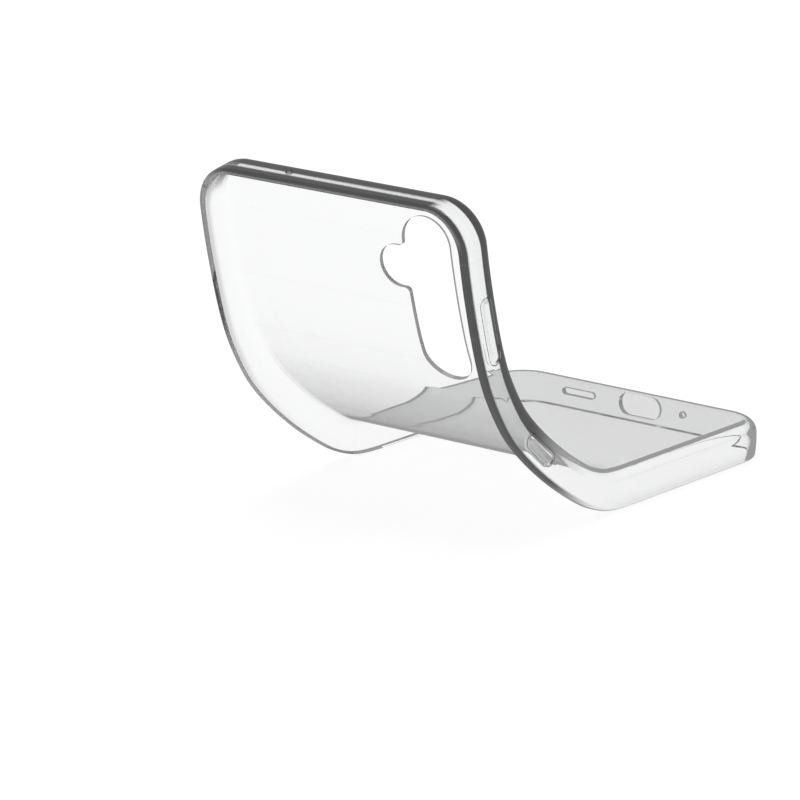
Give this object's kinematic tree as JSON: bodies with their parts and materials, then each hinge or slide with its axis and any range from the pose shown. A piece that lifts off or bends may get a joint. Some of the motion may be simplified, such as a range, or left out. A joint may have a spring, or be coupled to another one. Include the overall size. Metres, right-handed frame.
{
  "type": "phone case",
  "caption": "Clear soft phone case with a raised rim, a camera cut-out and end openings, peeled open from its lens end.",
  "frame": {"origin": "on the inner face of the back panel, midway across, where the phone's back rests in the port end's flat part, 31 mm before the first bend line", "axes": "+X along the case towards its port end, -Y towards the side with the key covers, +Z out through the back panel of the port end"},
  "size_m": [0.123, 0.08, 0.0843],
  "materials": {
    "clear_shell": "colourless clear moulded elastomer, high gloss",
    "key_cover": "colourless clear moulded elastomer, high gloss"
  },
  "bodies": {
    "port_end": {"port_end_shell": "clear_shell"},
    "band_1": {"bend_band_1": "clear_shell"},
    "band_2": {"bend_band_2": "clear_shell"},
    "band_3": {"bend_band_3": "clear_shell"},
    "band_4": {"bend_band_4": "clear_shell"},
    "band_5": {"bend_band_5": "clear_shell"},
    "band_6": {"bend_band_6": "clear_shell"},
    "band_7": {"bend_band_7": "clear_shell", "bend_band_7_key_side": "clear_shell"},
    "lens_end": {"lens_end_shell": "clear_shell"},
    "volume_key": {"volume_key_cover": "key_cover"},
    "power_key": {"power_key_cover": "key_cover"}
  },
  "joints": [
    {"name": "peel_1", "type": "hinge", "parent": "port_end", "child": "band_1", "pos_m": [-0.031, 0, 0.00055], "axis": [0, -1, 0], "range_deg": [-3, 11]},
    {"name": "peel_2", "type": "hinge", "parent": "band_1", "child": "band_2", "pos_m": [-0.0364, 0, 0.0016], "axis": [0, -1, 0], "range_deg": [-3.55, 13]},
    {"name": "peel_3", "type": "hinge", "parent": "band_2", "child": "band_3", "pos_m": [-0.04188, 0, 0.00404], "axis": [0, -1, 0], "range_deg": [-2.46, 9]},
    {"name": "peel_4", "type": "hinge", "parent": "band_3", "child": "band_4", "pos_m": [-0.05404, 0, 0.01194], "axis": [0, -1, 0], "range_deg": [-2.18, 8]},
    {"name": "peel_5", "type": "hinge", "parent": "band_4", "child": "band_5", "pos_m": [-0.06498, 0, 0.02145], "axis": [0, -1, 0], "range_deg": [-3.55, 13]},
    {"name": "peel_6", "type": "hinge", "parent": "band_5", "child": "band_6", "pos_m": [-0.06969, 0, 0.02792], "axis": [0, -1, 0], "range_deg": [-2.18, 8]},
    {"name": "peel_7", "type": "hinge", "parent": "band_6", "child": "band_7", "pos_m": [-0.07462, 0, 0.03719], "axis": [0, -1, 0], "range_deg": [-3.55, 13]},
    {"name": "peel_8", "type": "hinge", "parent": "band_7", "child": "lens_end", "pos_m": [-0.07953, 0, 0.05555], "axis": [0, -1, 0], "range_deg": [-1.36, 5]},
    {"name": "volume_key_press", "type": "slide", "parent": "band_7", "child": "volume_key", "axis": [0, 1, 0], "range_m": [0, 0.0005], "stiffness_N_per_m": 600},
    {"name": "power_key_press", "type": "slide", "parent": "band_4", "child": "power_key", "axis": [0, 1, 0], "range_m": [0, 0.0005], "stiffness_N_per_m": 600}
  ],
  "couplings": [
    {"joint": "peel_2", "follows": "peel_1", "ratio": 1.1818},
    {"joint": "peel_3", "follows": "peel_1", "ratio": 0.81818},
    {"joint": "peel_4", "follows": "peel_1", "ratio": 0.72727},
    {"joint": "peel_5", "follows": "peel_1", "ratio": 1.1818},
    {"joint": "peel_6", "follows": "peel_1", "ratio": 0.72727},
    {"joint": "peel_7", "follows": "peel_1", "ratio": 1.1818},
    {"joint": "peel_8", "follows": "peel_1", "ratio": 0.45454}
  ]
}
